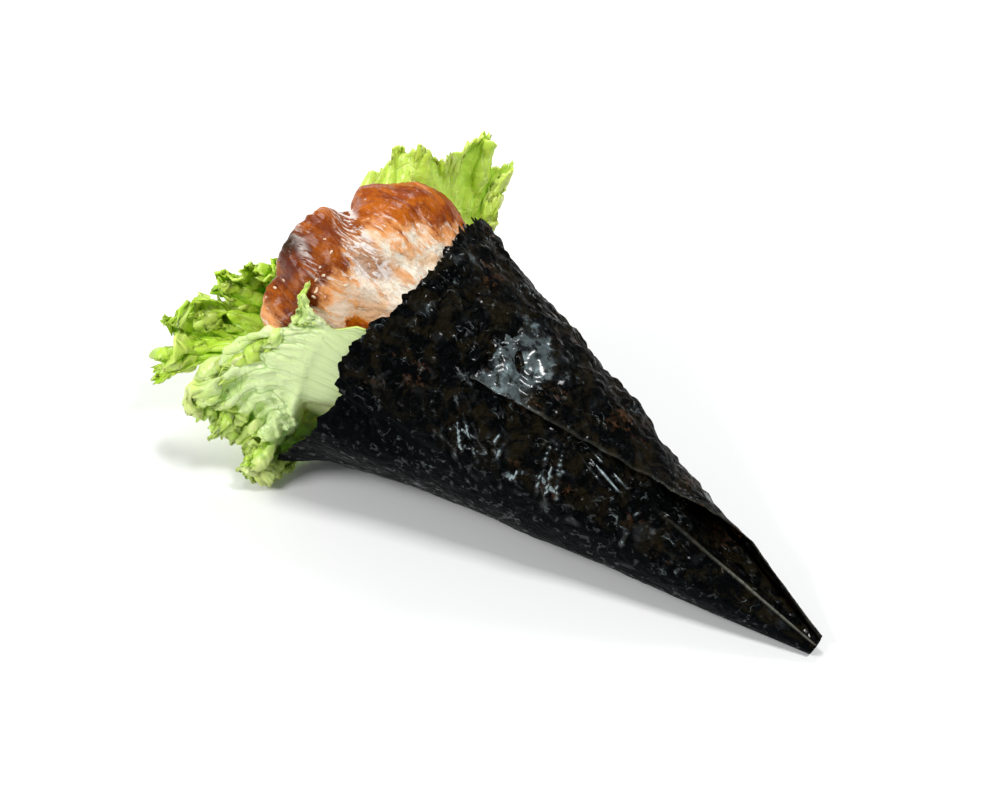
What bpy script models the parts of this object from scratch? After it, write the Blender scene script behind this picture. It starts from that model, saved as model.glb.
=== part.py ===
"""Temaki hand roll lying on its side: a cone of nori with grilled eel and lettuce in its mouth.

A half sheet of nori is wrapped one and a half times round into a cone. The cone's tip points along
+X and its mouth along -X, and a strip of its underside is pressed flat on the table. A slice of
grilled eel lies under the top wall. Three lettuce leaves fan out of the mouth: one in front of the
eel, one below and beyond it, and one behind it.

Units are metres. While the pieces are made, the true apex of the cone is at the origin and the
table is the plane z = 0. At the end the roll is moved so that the origin is at its bottom centre.

Angles round the cone, called phi, count from the top toward -Y.
"""

from math import asin, atan, atan2, cos, pi, radians, sin, sqrt, tan

import bmesh
import bpy
from mathutils import Vector

MM = 0.001

# The cone
HALF_ANGLE = radians(14.3)
TIP_SLANT = 8 * MM              # from the true apex to the blunt tip, along the wall
RIM_SLANT = 113.5 * MM          # from the true apex to the nearest part of the rim
RIM_ALONG = RIM_SLANT * cos(HALF_ANGLE)
PRESSED_ANGLE = radians(20)     # half of the arc that the table presses flat
PRESSED_BLEND = 0.03            # how softly the flat turns into the round
TILT = atan(tan(HALF_ANGLE) * cos(PRESSED_ANGLE))

# The sheet of nori, by how far it is wrapped from the corner that shows on the outside
NORI_THICKNESS = 0.4 * MM
WRAP_PITCH = 0.75 * MM          # from one turn's face to the next turn's
WRAP_START = radians(235)       # where the sheet begins to go under its own first turn
WRAP_SETTLED = radians(345)
WRAP_END = radians(530)
CORNER_PHI = radians(32)
CORNER_SLANT = 92 * MM
EDGE_OFFSET = 13.5 * MM         # from the true apex to the line of the free edge
EDGE_LIMIT = radians(80)        # how far the free edge strays round the cone at the tip
RIM_MIDDLE = radians(92)        # on the flat sheet, where the rim is nearest to the apex
RIM_CAP = 118 * MM
RIM_WAVE = 0.7 * MM
INNER_TURN_RATE = 0.75          # the inner turn's rim climbs less than the outer's
FLAP_LIFT = 1.1 * MM            # the loose free edge stands off the cone near the tip
FLAP_SLANT = 38 * MM
CRUMPLE = 0.35 * MM
PLEAT_PHI = radians(72)
PLEAT_DEPTH = 0.9 * MM
FLARE_PHI = radians(122)
FLARE_WIDTH = radians(30)
FLARE = 2.5 * MM
SHEET_CELLS = (72, 11)          # round the wrap, along the cone

# Room for the filling
CLEARANCE = 2.6 * MM            # between the cone's nominal wall and what is inside it
LEAF_FIT = 0.95                 # of that room, where a leaf lies along the wall
FILLING_ROOT = 42 * MM          # how near to the apex the filling reaches
LEAF_EXIT = RIM_ALONG + 7 * MM  # where the leaves are clear of the rim and can spread

# The eel slice, a slab bent to follow the cone's top wall
EEL_LEFT_PHI = radians(88)
EEL_RIGHT_PHI = radians(-50)
EEL_VALLEY_PHI = radians(-1)
EEL_VALLEY_DEPTH = 0.17         # of the room at the mouth
EEL_VALLEY_WIDTH = radians(17)
EEL_TOP = 0.96
EEL_TUCKED_TOP = 0.80           # where the front leaf lies over it
EEL_BOTTOM = 0.50
EEL_BEYOND = 26 * MM            # how far it stands out of the mouth
EEL_SWELL = 3.2 * MM            # how much it rises once it is clear of the rim
EEL_ROOT = 48 * MM
EEL_CORNER_POWER = 4.0          # higher is squarer
EEL_CELLS = (18, 14, 4)         # along, across, thick

# The lettuce leaves
LEAF_THICKNESS = 1.2 * MM
BUNCH_THICKNESS = 12 * MM       # of the left leaf, bunched together in the mouth
BUNCH_OPEN = 0.6                # of its length, where it has opened out
TABLE_GAP = 0.9 * MM            # from the table up to the middle of a leaf that lies on it
LEAF_CELLS = (28, 12)           # across, along
LEAF_MOUTH = 0.36               # of a leaf's length, where it leaves the cone
RUFFLE = 2.0 * MM

NORI_COLOUR = (0.012, 0.014, 0.012)
EEL_COLOUR = (0.50, 0.15, 0.03)
FRONT_COLOUR = (0.62, 0.80, 0.36)
LEFT_COLOUR = (0.30, 0.48, 0.06)
RIGHT_COLOUR = (0.38, 0.55, 0.10)


def smooth(value, low, high):
    """0 below low and 1 above high, with a smooth step between them."""
    step = min(max((value - low) / (high - low), 0), 1)
    return step * step * (3 - 2 * step)


def hump(value, centre, width):
    """1 at the centre, falling smoothly to 0 at a width to each side."""
    return 1 - smooth(abs(value - centre), 0, width)


def mix(first, second, share):
    return first + (second - first) * share


def curve_through(values, position):
    """The point at a position from 0 to 1 on a smooth curve through evenly spaced values."""
    spans = len(values) - 1
    span = min(int(position * spans), spans - 1)
    step = position * spans - span
    before = values[max(span - 1, 0)]
    start = values[span]
    end = values[span + 1]
    after = values[min(span + 2, spans)]
    start_slope = (end - before) / 2
    end_slope = (after - start) / 2
    square = step * step
    cube = square * step
    return (start * (2 * cube - 3 * square + 1) + start_slope * (cube - 2 * square + step)
            + end * (3 * square - 2 * cube) + end_slope * (cube - square))


# ---------------------------------------------------------------- the cone's own directions

def in_cone(along, side, up):
    """A place given along the axis from the apex, to the side toward -Y, and up from the axis."""
    return Vector((up * sin(TILT) - along * cos(TILT), -side, along * sin(TILT) + up * cos(TILT)))


def from_bottom(phi):
    """The angle between phi and the underside, from 0 to pi."""
    return abs(pi - phi % (2 * pi))


def pressed(phi):
    """What is left of the round section's radius at phi, with its underside pressed flat."""
    plane = cos(PRESSED_ANGLE) / max(cos(from_bottom(phi)), 0.2)
    overlap = max(PRESSED_BLEND - abs(1 - plane), 0) / PRESSED_BLEND
    return min(1, plane) - overlap * overlap * PRESSED_BLEND / 4


# ---------------------------------------------------------------- the sheet of nori

def flat_angle(wrap):
    """The angle at the apex, on the flat sheet, that a wrap angle round the cone uses up."""
    return wrap * sin(HALF_ANGLE)


def rim_slant(wrap):
    """From the apex to the sheet's edge: the short edge from the corner, and then the long rim."""
    angle = flat_angle(wrap)
    short_edge = CORNER_SLANT / max(cos(angle), 0.4)
    rate = INNER_TURN_RATE if angle > RIM_MIDDLE else 1
    long_edge = RIM_SLANT / max(cos(rate * (angle - RIM_MIDDLE)), 0.4)
    long_edge = min(long_edge, RIM_CAP) + RIM_WAVE * sin(7 * wrap) * sin(2.3 * wrap)
    return long_edge if angle > RIM_MIDDLE else min(short_edge, long_edge)


def free_edge(slant):
    """The wrap angle of the sheet's straight free edge, which runs from its corner to the tip."""
    at_corner = asin(EDGE_OFFSET / CORNER_SLANT)
    here = asin(min(EDGE_OFFSET / slant, 1))
    return min((here - at_corner) / sin(HALF_ANGLE), EDGE_LIMIT)


def crumple(slant, phi):
    """Shallow hills and hollows of the sheet, none of them on the pressed strip."""
    waves = sin(5 * phi + 140 * slant) + sin(3 * phi - 310 * slant + 2)
    fade = smooth(slant, TIP_SLANT, 50 * MM) * smooth(from_bottom(phi), radians(24), radians(50))
    return CRUMPLE * waves / 2 * fade


def pleat(slant, phi):
    """The fold that runs from the rim into the lower front of the cone."""
    reach = smooth(slant, 70 * MM, RIM_SLANT)
    return PLEAT_DEPTH * reach * hump(phi, PLEAT_PHI, radians(14))


def flare(slant, phi):
    """The rim stands away from the cone at the lower front."""
    reach = smooth(slant, 96 * MM, RIM_CAP)
    return FLARE * reach * hump(phi, FLARE_PHI, FLARE_WIDTH)


def flap_lift(slant, wrap):
    """How far the loose free edge stands off the turn below it."""
    from_edge = wrap - free_edge(slant)
    return FLAP_LIFT * hump(slant, FLAP_SLANT, 30 * MM) * (1 - smooth(from_edge, 0, radians(50)))


def sheet_place(across, along):
    """A point of the sheet's outer face. Both shares run from 0 to 1."""
    start = free_edge(mix(TIP_SLANT, CORNER_SLANT, along))
    wrap = mix(start, WRAP_END, across)
    slant = mix(TIP_SLANT, rim_slant(wrap), along)
    phi = (CORNER_PHI - wrap) % (2 * pi)
    tucked = WRAP_PITCH * smooth(wrap, WRAP_START, WRAP_SETTLED)
    radius = slant * sin(HALF_ANGLE) * pressed(phi) - tucked
    radius += crumple(slant, phi) + flare(slant, phi) - pleat(slant, phi) + flap_lift(slant, wrap)
    return in_cone(slant * cos(HALF_ANGLE), radius * sin(phi), radius * cos(phi))


# ---------------------------------------------------------------- the filling

def room(along, phi):
    """From the axis to the filling's limit inside the wall. Clear of the rim it grows no more."""
    return min(along, LEAF_EXIT) * tan(HALF_ANGLE) * pressed(phi) - CLEARANCE


def eel_place(corner):
    """A point of the eel slice, for a point of a cube whose sides run from -1 to 1."""
    reach = sum(abs(value) ** EEL_CORNER_POWER for value in corner) ** (1 / EEL_CORNER_POWER)
    lengthwise, sideways, upward = corner / reach
    phi = mix(EEL_LEFT_PHI, EEL_RIGHT_PHI, (sideways + 1) / 2)
    valley = hump(phi, EEL_VALLEY_PHI, EEL_VALLEY_WIDTH)
    end = RIM_ALONG + EEL_BEYOND * (1 - 0.18 * valley)
    along = mix(EEL_ROOT, end, (lengthwise + 1) / 2)
    outside = smooth(along, RIM_ALONG - 22 * MM, RIM_ALONG + 4 * MM)
    top = mix(EEL_TOP, EEL_TUCKED_TOP, smooth(phi, radians(16), radians(36)))
    top -= EEL_VALLEY_DEPTH * valley * outside
    swell = EEL_SWELL * smooth(along, LEAF_EXIT - 4 * MM, LEAF_EXIT + 10 * MM)
    radius = room(along, phi) * mix(EEL_BOTTOM, top, (upward + 1) / 2) + swell
    return in_cone(along, radius * sin(phi), radius * cos(phi))


class Rib:
    """One line of a leaf, from its root in the cone, through the mouth, to the leaf's margin.

    The mouth is given by the angle round the cone and by the share of the room there. The margin
    is given in millimetres: beyond the mouth, to the side toward -Y, and up from the axis.
    """

    def __init__(self, phi, share, beyond, side, up):
        self.mouth = Vector((sin(radians(phi)), cos(radians(phi)), 0)) * share
        self.margin = Vector((RIM_ALONG + beyond * MM, side * MM, up * MM))


FRONT_RIBS = (Rib(28, LEAF_FIT, 16, 18.5, 20.5),
              Rib(44, LEAF_FIT, 17, 27, 9),
              Rib(60, LEAF_FIT, 25, 29, -5),
              Rib(78, LEAF_FIT, 29, 33, -17),
              Rib(96, LEAF_FIT, 23, 32, -23),
              Rib(114, LEAF_FIT, 15, 32, -26),
              Rib(132, LEAF_FIT, 9, 31, -27),
              Rib(148, LEAF_FIT, 8, 17, -25))
LEFT_RIBS = (Rib(118, 0.62, 40, 28, -24),
             Rib(132, 0.58, 41, 24, -13),
             Rib(158, 0.46, 40, 16, -5),
             Rib(202, 0.46, 34, 7, 2),
             Rib(232, 0.62, 28, -5, 4))
RIGHT_RIBS = (Rib(-40, 0.38, 30, -15, 12),
              Rib(-60, 0.60, 26, -22, 19),
              Rib(-74, 0.88, 19, -29, 20),
              Rib(-86, LEAF_FIT, 16, -40, 18),
              Rib(-100, LEAF_FIT, 10, -44, 13),
              Rib(-114, LEAF_FIT, 8, -40, 5),
              Rib(-128, LEAF_FIT, 9, -35, -5))


def leaf_surface(ribs, across, along):
    """A point of a leaf before it is ruffled. Both shares run from 0 to 1."""
    mouth = curve_through([rib.mouth for rib in ribs], across)
    margin = curve_through([rib.margin for rib in ribs], across)
    direction = atan2(mouth.x, mouth.y)
    if along < LEAF_MOUTH:
        depth = mix(FILLING_ROOT, LEAF_EXIT, along / LEAF_MOUTH)
        reach = room(depth, direction)
        return Vector((depth, mouth.x * reach, mouth.y * reach))
    reach = room(LEAF_EXIT, direction)
    start = Vector((LEAF_EXIT, mouth.x * reach, mouth.y * reach))
    ahead = Vector((1, mouth.x * tan(HALF_ANGLE), mouth.y * tan(HALF_ANGLE)))
    turn = start + ahead * (margin.x - LEAF_EXIT) * 0.75
    share = (along - LEAF_MOUTH) / (1 - LEAF_MOUTH)
    return start * (1 - share) ** 2 + turn * 2 * share * (1 - share) + margin * share ** 2


def leaf_place(ribs, waves, across, along):
    """A point of a leaf, with ruffles that grow toward its margin."""
    step = 0.01
    place = leaf_surface(ribs, across, along)
    back = max(along - step, 0)
    left = leaf_surface(ribs, max(across - step, 0), along)
    right = leaf_surface(ribs, min(across + step, 1), along)
    normal = (right - left).cross(place - leaf_surface(ribs, across, back) + Vector((1e-6, 0, 0)))
    growth = smooth(along, LEAF_MOUTH, 1) * sqrt(max(along, 0))
    place += normal.normalized() * RUFFLE * growth * sin(2 * pi * waves * across)
    place = in_cone(*place)
    place.z = max(place.z, TABLE_GAP)
    return place


def bunching(along):
    """A leaf's share of its bunched thickness: it fills the mouth, and opens out beyond it."""
    inside = room(mix(FILLING_ROOT, LEAF_EXIT, min(along / LEAF_MOUTH, 1)), 0) / room(LEAF_EXIT, 0)
    opened = LEAF_THICKNESS / BUNCH_THICKNESS
    return mix(inside, opened, smooth(along, LEAF_MOUTH * 0.8, BUNCH_OPEN))


# ---------------------------------------------------------------- making the objects

def plain_material(name, colour, roughness):
    material = bpy.data.materials.new(name)
    material.use_nodes = True
    shader = material.node_tree.nodes["Principled BSDF"]
    shader.inputs["Base Color"].default_value = (*colour, 1)
    shader.inputs["Roughness"].default_value = roughness
    shader.inputs["Metallic"].default_value = 0
    return material


def add_object(name, shape, material, collection, roll):
    """An object of the roll, made from a bmesh."""
    mesh = bpy.data.meshes.new(name)
    shape.to_mesh(mesh)
    shape.free()
    mesh.materials.append(material)
    mesh.shade_smooth()
    piece = bpy.data.objects.new(name, mesh)
    piece.parent = roll
    collection.objects.link(piece)
    return piece


def thicken(piece, thickness, offset):
    """Give an open surface its thickness. An offset of -1 keeps the surface as the outer face."""
    shell = piece.modifiers.new("thickness", "SOLIDIFY")
    shell.thickness = thickness
    shell.offset = offset
    return piece


def grid_of(cells):
    """A flat grid whose x and y run from 0 to 1."""
    shape = bmesh.new()
    bmesh.ops.create_grid(shape, x_segments=cells[0], y_segments=cells[1], size=0.5)
    bmesh.ops.translate(shape, vec=(0.5, 0.5, 0), verts=shape.verts)
    return shape


def nori_wrap(collection, roll):
    shape = grid_of(SHEET_CELLS)
    for vertex in shape.verts:
        vertex.co = sheet_place(vertex.co.x, vertex.co.y)
    material = plain_material("nori", NORI_COLOUR, 0.35)
    piece = add_object("nori_wrap", shape, material, collection, roll)
    return thicken(piece, NORI_THICKNESS, -1)


def eel_slice(collection, roll):
    """A cube is cut into cells, rounded at its edges and bent under the cone's top wall."""
    shape = bmesh.new()
    bmesh.ops.create_cube(shape, size=2)
    for axis, cells in enumerate(EEL_CELLS):
        for cut in range(1, cells):
            place = Vector((0, 0, 0))
            place[axis] = 2 * cut / cells - 1
            normal = Vector((0, 0, 0))
            normal[axis] = 1
            everything = shape.verts[:] + shape.edges[:] + shape.faces[:]
            bmesh.ops.bisect_plane(shape, geom=everything, plane_co=place, plane_no=normal)
    for vertex in shape.verts:
        vertex.co = eel_place(vertex.co)
    bmesh.ops.recalc_face_normals(shape, faces=shape.faces)
    material = plain_material("eel", EEL_COLOUR, 0.3)
    return add_object("eel_slice", shape, material, collection, roll)


def lettuce_leaf(name, ribs, waves, colour, collection, roll, bunched=False):
    """A ruffled leaf. A bunched one is thick in the mouth, by weights in a vertex group."""
    shape = grid_of(LEAF_CELLS)
    alongs = [vertex.co.y for vertex in shape.verts]
    for vertex in shape.verts:
        vertex.co = leaf_place(ribs, waves, vertex.co.x, vertex.co.y)
    material = plain_material(name, colour, 0.45)
    piece = add_object(name, shape, material, collection, roll)
    if not bunched:
        return thicken(piece, LEAF_THICKNESS, 0)
    group = piece.vertex_groups.new(name="bunching")
    for index, along in enumerate(alongs):
        group.add([index], bunching(along), "REPLACE")
    thicken(piece, BUNCH_THICKNESS, 0).modifiers["thickness"].vertex_group = group.name
    return piece


def lay_on_origin(roll, pieces):
    """Move the roll so that the origin is at the centre of its underside."""
    bpy.context.view_layer.update()
    graph = bpy.context.evaluated_depsgraph_get()
    corners = []
    for piece in pieces:
        evaluated = piece.evaluated_get(graph)
        corners += [evaluated.matrix_world @ vertex.co for vertex in evaluated.data.vertices]
    low = Vector([min(corner[axis] for corner in corners) for axis in range(3)])
    high = Vector([max(corner[axis] for corner in corners) for axis in range(3)])
    roll.location = (-(low.x + high.x) / 2, -(low.y + high.y) / 2, -low.z)


def main():
    for item in list(bpy.data.objects):
        bpy.data.objects.remove(item, do_unlink=True)
    collection = bpy.data.collections.new("temaki_hand_roll")
    bpy.context.scene.collection.children.link(collection)
    roll = bpy.data.objects.new("roll", None)
    collection.objects.link(roll)
    pieces = [nori_wrap(collection, roll),
              eel_slice(collection, roll),
              lettuce_leaf("lettuce_front", FRONT_RIBS, 6, FRONT_COLOUR, collection, roll),
              lettuce_leaf("lettuce_left", LEFT_RIBS, 6, LEFT_COLOUR, collection, roll, True),
              lettuce_leaf("lettuce_right", RIGHT_RIBS, 6, RIGHT_COLOUR, collection, roll)]
    lay_on_origin(roll, pieces)


main()
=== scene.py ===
"""The looks of a temaki hand roll: a crumpled nori cone, glazed grilled eel and frilly lettuce.

The pieces are made in the cone's own directions: along its axis from the true apex toward the
mouth, to the side toward -Y, and up from the axis. Angles round the cone, called phi, count from
the top toward -Y. Lengths are metres.
"""

from collections import namedtuple
from math import asin, atan, atan2, cos, degrees, floor, pi, radians, sin, sqrt, tan

import bmesh
import bpy
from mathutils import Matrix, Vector, noise


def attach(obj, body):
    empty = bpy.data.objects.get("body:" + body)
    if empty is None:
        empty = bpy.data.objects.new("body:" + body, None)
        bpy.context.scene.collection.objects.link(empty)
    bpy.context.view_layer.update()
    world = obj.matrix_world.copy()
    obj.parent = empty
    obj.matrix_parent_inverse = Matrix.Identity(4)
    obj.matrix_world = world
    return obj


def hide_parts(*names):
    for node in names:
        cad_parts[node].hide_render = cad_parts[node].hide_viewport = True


MM = 0.001

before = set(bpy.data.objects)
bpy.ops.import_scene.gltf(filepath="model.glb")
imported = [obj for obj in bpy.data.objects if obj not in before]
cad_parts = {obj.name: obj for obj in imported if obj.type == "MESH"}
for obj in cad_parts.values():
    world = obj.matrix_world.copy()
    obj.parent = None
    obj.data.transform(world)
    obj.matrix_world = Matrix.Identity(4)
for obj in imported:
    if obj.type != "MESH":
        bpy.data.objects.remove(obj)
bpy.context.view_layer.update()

# The cone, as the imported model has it
APEX = Vector((79.7 * MM, -4.8 * MM, 0))
HALF_ANGLE = radians(14.3)
TIP_SLANT = 8 * MM
RIM_SLANT = 113.5 * MM
RIM_ALONG = RIM_SLANT * cos(HALF_ANGLE)
PRESSED_ANGLE = radians(20)
PRESSED_BLEND = 0.03
TILT = atan(tan(HALF_ANGLE) * cos(PRESSED_ANGLE))

# The sheet of nori
NORI_THICKNESS = 0.25 * MM
WRAP_PITCH = 0.75 * MM
WRAP_START = radians(235)
WRAP_SETTLED = radians(345)
CORNER_PHI = radians(32)
CORNER_SLANT = 92 * MM
EDGE_OFFSET = 13.5 * MM
EDGE_LIMIT = radians(80)
RIM_MIDDLE = radians(92)
RIM_CAP = 118 * MM
INNER_TURN_RATE = 0.75
SHEET_STRIPS = ((0, 62, 0.9), (62, 106, 1.1), (106, 232, 3.2), (232, 440, 0.86),
                (440, 530, 5))     # in degrees of wrap: from, to and step
SHEET_ROWS = 185
INNER_ROW_STEP = 4
RIM_PRESS = 0.65 * MM
ROLL_HEIGHT, PLEAT_DEPTH, FLARE_HEIGHT, CORNER_FLARE = 1.7, 2.3, 1.6, 4.4     # mm
FLAP_LIFT, EDGE_LIFT = 1.1, 0.5                                               # mm
TABLE_SKIN = 0.02 * MM

# The filling
CLEARANCE = 2.6 * MM
LEAF_FIT = 0.95
FILLING_ROOT = 42 * MM
LEAF_EXIT = RIM_ALONG + 7 * MM
LEAF_MOUTH = 0.30


def noise_at(x, y, z):
    return noise.noise(Vector((x, y, z)))


def clamp(value):
    return min(max(value, 0), 1)


def smooth(value, low, high):
    """0 below low and 1 above high, with a smooth step between them."""
    step = clamp((value - low) / (high - low))
    return step * step * (3 - 2 * step)


def hump(value, centre, width):
    """1 at the centre, falling smoothly to 0 at a width to each side."""
    return 1 - smooth(abs(value - centre), 0, width)


def step_at(angle, low, high):
    """The smooth step, between two angles in degrees."""
    return smooth(angle, radians(low), radians(high))


def hump_at(angle, centre, width):
    """The hump, with its centre and width in degrees."""
    return hump(angle, radians(centre), radians(width))


def step_mm(length, low, high):
    return smooth(length, low * MM, high * MM)


def past_rim(along, low, high):
    """The smooth step, between two distances beyond the rim in mm."""
    return smooth(along, RIM_ALONG + low * MM, RIM_ALONG + high * MM)


def mix(first, second, share):
    return first + (second - first) * share


def zigzag(value):
    """A triangle wave from -1 to 1, once for each whole number."""
    return 4 * abs(value - floor(value + 0.5)) - 1


def curve_through(values, position):
    """The point at a position from 0 to 1 on a smooth curve through evenly spaced values."""
    spans = len(values) - 1
    span = min(int(position * spans), spans - 1)
    step = position * spans - span
    before = values[max(span - 1, 0)]
    start = values[span]
    end = values[span + 1]
    after = values[min(span + 2, spans)]
    start_slope = (end - before) / 2
    end_slope = (after - start) / 2
    square = step * step
    cube = square * step
    return (start * (2 * cube - 3 * square + 1) + start_slope * (cube - 2 * square + step)
            + end * (3 * square - 2 * cube) + end_slope * (cube - square))


def colour(red, green, blue):
    """A colour for a shader, from its red, green and blue as a paint mixer gives them, 0 to 255."""
    values = []
    for part in (red, green, blue):
        share = part / 255
        values.append(share / 12.92 if share <= 0.04045 else ((share + 0.055) / 1.055) ** 2.4)
    return (*values, 1)


# ---- cone's own directions

def in_cone(along, side, up):
    """A place given along the axis from the apex, to the side toward -Y, and up from the axis."""
    return APEX + Vector((up * sin(TILT) - along * cos(TILT), -side,
                          along * sin(TILT) + up * cos(TILT)))


def from_bottom(phi):
    """The angle between phi and the underside, from 0 to pi."""
    return abs(pi - phi % (2 * pi))


def signed(phi):
    """An angle, brought between -pi and pi."""
    return (phi + pi) % (2 * pi) - pi


def pressed(phi):
    """What is left of the round section's radius at phi, with its underside pressed flat."""
    plane = cos(PRESSED_ANGLE) / max(cos(from_bottom(phi)), 0.2)
    overlap = max(PRESSED_BLEND - abs(1 - plane), 0) / PRESSED_BLEND
    return min(1, plane) - overlap * overlap * PRESSED_BLEND / 4


def on_cone(slant, phi, radius):
    return in_cone(slant * cos(HALF_ANGLE), radius * sin(phi), radius * cos(phi))


# ---- making meshes

def flat(columns):
    return [item for column in columns for item in column]


def grid_faces(columns, rows):
    return [(c * rows + r, (c + 1) * rows + r, (c + 1) * rows + r + 1, c * rows + r + 1)
            for c in range(columns - 1) for r in range(rows - 1)]


def directions(places, c, r):
    """At a point of a grid: toward the next column, toward the next row, and the normal."""
    across = places[min(c + 1, len(places) - 1)][r] - places[max(c - 1, 0)][r]
    outward = places[c][min(r + 1, len(places[c]) - 1)] - places[c][max(r - 1, 0)]
    return across, outward, across.cross(outward).normalized()


def write_values(mesh, names, rows):
    """Named values at a mesh's points, from one row of them for each point."""
    for name, values in zip(names, zip(*rows)):
        mesh.attributes.new(name, "FLOAT", "POINT").data.foreach_set("value", values)


def placed(name, data):
    """A new object in the scene, at the origin."""
    item = bpy.data.objects.new(name, data)
    bpy.context.scene.collection.objects.link(item)
    return item


def add_piece(name, mesh, materials, node):
    """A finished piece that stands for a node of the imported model."""
    for material in materials:
        mesh.materials.append(material)
    piece = placed(name, mesh)
    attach(piece, "root")
    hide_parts(node)
    return piece


# ---- nori

class Wrinkle:
    """Short sharp ridges side by side, from one place to another: slant in mm, phi in degrees."""

    def __init__(self, start, end, ridges, pitch, height):
        self.start = start
        self.around = (start[0] + end[0]) / 2 * MM * sin(HALF_ANGLE)
        self.run = ((end[0] - start[0]) * MM, radians(end[1] - start[1]) * self.around)
        self.length = sqrt(self.run[0] ** 2 + self.run[1] ** 2)
        self.half = ridges * pitch * MM / 2
        self.pitch = pitch * MM
        self.height = height * MM

    def at(self, slant, phi):
        toward = slant - self.start[0] * MM
        round_ = (phi - radians(self.start[1])) * self.around
        share = (toward * self.run[0] + round_ * self.run[1]) / self.length ** 2
        if not 0 < share < 1:
            return 0
        offset = (toward * self.run[1] - round_ * self.run[0]) / self.length
        offset /= 0.55 + 0.6 * share
        if abs(offset) > self.half:
            return 0
        ridge = floor(offset / self.pitch + 0.5)
        broken = noise_at(share * self.length / (3 * MM), ridge * 1.7, self.length * 900)
        fade = sin(pi * share) * min(1, 2 * (1 - abs(offset) / self.half))
        return self.height * fade * smooth(broken, -0.35, 0.25) * zigzag(offset / self.pitch + 0.5)


WRINKLES = [Wrinkle(*row) for row in (
    ((91.5, 48), (84, 74), 5, 2.1, 0.42),
    ((81, 42), (82, 66), 3, 2.2, 0.40),
    ((73, 51), (76.5, 80), 2, 2.6, 0.46),
    ((71.5, 27), (66.5, 73), 3, 2.1, 0.44),
    ((67.5, 23), (54.5, 32), 3, 1.8, 0.42),
    ((51, 28), (50, 79), 2, 2.3, 0.48),
    ((87, 72), (81, 90), 2, 1.9, 0.20),
    ((97, 30), (88, 47), 3, 2.0, 0.22),
    ((45, 34), (37, 48), 3, 1.5, 0.22),
    ((60, 50), (58, 72), 2, 1.8, 0.22),
    ((101, -20), (94, -44), 4, 1.9, 0.25),
    ((60, -70), (70, -120), 4, 2.2, 0.35),
    ((90, -100), (84, -140), 4, 2.2, 0.35))]
WRINKLED_FROM, WRINKLED_TO = -pi * 0.8, pi * 0.5
FACET_WAYS = (Vector((0.83, 0.12, 0.55)), Vector((-0.32, 0.88, 0.35)), Vector((0.41, 0.45, -0.79)))
WARP_SHIFTS = (Vector((9.3, -1.5, -7.9)), Vector((2.7, 5.1, 3.3)), Vector((-4.6, 8.2, 1.9)))

# The front of the rim, from the pressed strip round to the far side: phi in degrees, slant in mm
RIM_LINE = ((-60, 117), (-30, 115.5), (-13, 113.6), (1, 111.9), (18, 111.9), (32, 113.1),
            (46, 114.7), (68, 115.0), (73, 113.8), (77, 112.0), (82, 113.2), (94, 114.2),
            (106, 116), (118, 119.8), (130, 122.4), (142, 120.5), (154, 118))


def between(points, value):
    """The height of a line through points at a value, level before the first and after the last."""
    for (low, before), (high, after) in zip(points, points[1:]):
        if value < high:
            return mix(before, after, max((value - low) / (high - low), 0))
    return points[-1][1]


def facets(place, size):
    """Flat facets with sharp creases between them, as in crumpled paper, from -1 to 1."""
    wide = place / (2.2 * size)
    return sum(zigzag(place.dot(way) / size / (1 + 0.35 * turn) + 1.1 * noise.noise(wide + shift))
               for turn, (way, shift) in enumerate(zip(FACET_WAYS, WARP_SHIFTS))) / 3


def flat_angle(wrap):
    return wrap * sin(HALF_ANGLE)


def rim_slant(wrap):
    """From the apex to the sheet's edge: the short edge from the corner, and then the long rim."""
    angle = flat_angle(wrap)
    short_edge = CORNER_SLANT / max(cos(angle), 0.4)
    rate = INNER_TURN_RATE if angle > RIM_MIDDLE else 1
    long_edge = RIM_SLANT / max(cos(rate * (angle - RIM_MIDDLE)), 0.4)
    long_edge = min(long_edge, RIM_CAP)
    slant = long_edge if angle > RIM_MIDDLE else min(short_edge, long_edge)
    in_front = step_at(wrap, 238, 256) * (1 - step_at(wrap, 425, 460))
    front = between(RIM_LINE, degrees(CORNER_PHI + 2 * pi - wrap)) * MM
    return mix(slant, front, in_front)


def free_edge(slant):
    """The wrap angle of the sheet's straight free edge, which runs from its corner to the tip."""
    at_corner = asin(EDGE_OFFSET / CORNER_SLANT)
    here = asin(min(EDGE_OFFSET / slant, 1))
    return min((here - at_corner) / sin(HALF_ANGLE), EDGE_LIMIT)


TOOTH_PEAK = 0.72
TEETH_RATE = 28                # places for each radian of wrap, about 1 for each mm of the rim


def rim_teeth(wrap):
    """How the torn rim strays: sharp teeth at the upper right, rounder crinkles at the front."""
    turn = wrap * TEETH_RATE
    place = Vector((turn, 3.1, 0.7))
    jitter = noise.noise(place * 0.35) * 1.6
    size = smooth(noise.noise(place * 0.22 + Vector((9, 0, 0))), -0.5, 0.35)
    tooth = turn * 0.33 + jitter
    saw = tooth - floor(tooth)
    pointed = saw / TOOTH_PEAK if saw < TOOTH_PEAK else (1 - saw) / (1 - TOOTH_PEAK)
    sharp_teeth = (pointed - 0.45) * (0.9 + 1.7 * size)
    crinkles = 1.3 * noise.noise(place * 0.42) + 0.9 * abs(noise.noise(place * 0.8)) - 0.35
    fine = 0.25 * noise.noise(place * 2.3)
    sharp = step_at(wrap, 370, 384)
    return (mix(crinkles, sharp_teeth, sharp) + fine) * MM


def patch_share(slant, phi, wrap):
    """1 on the bright crumpled patch by the free corner, 0 away from it."""
    return hump(slant, 87.5 * MM, 13 * MM) * step_at(phi, -30, -6) * (1 - step_at(wrap, 42, 64))


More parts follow.
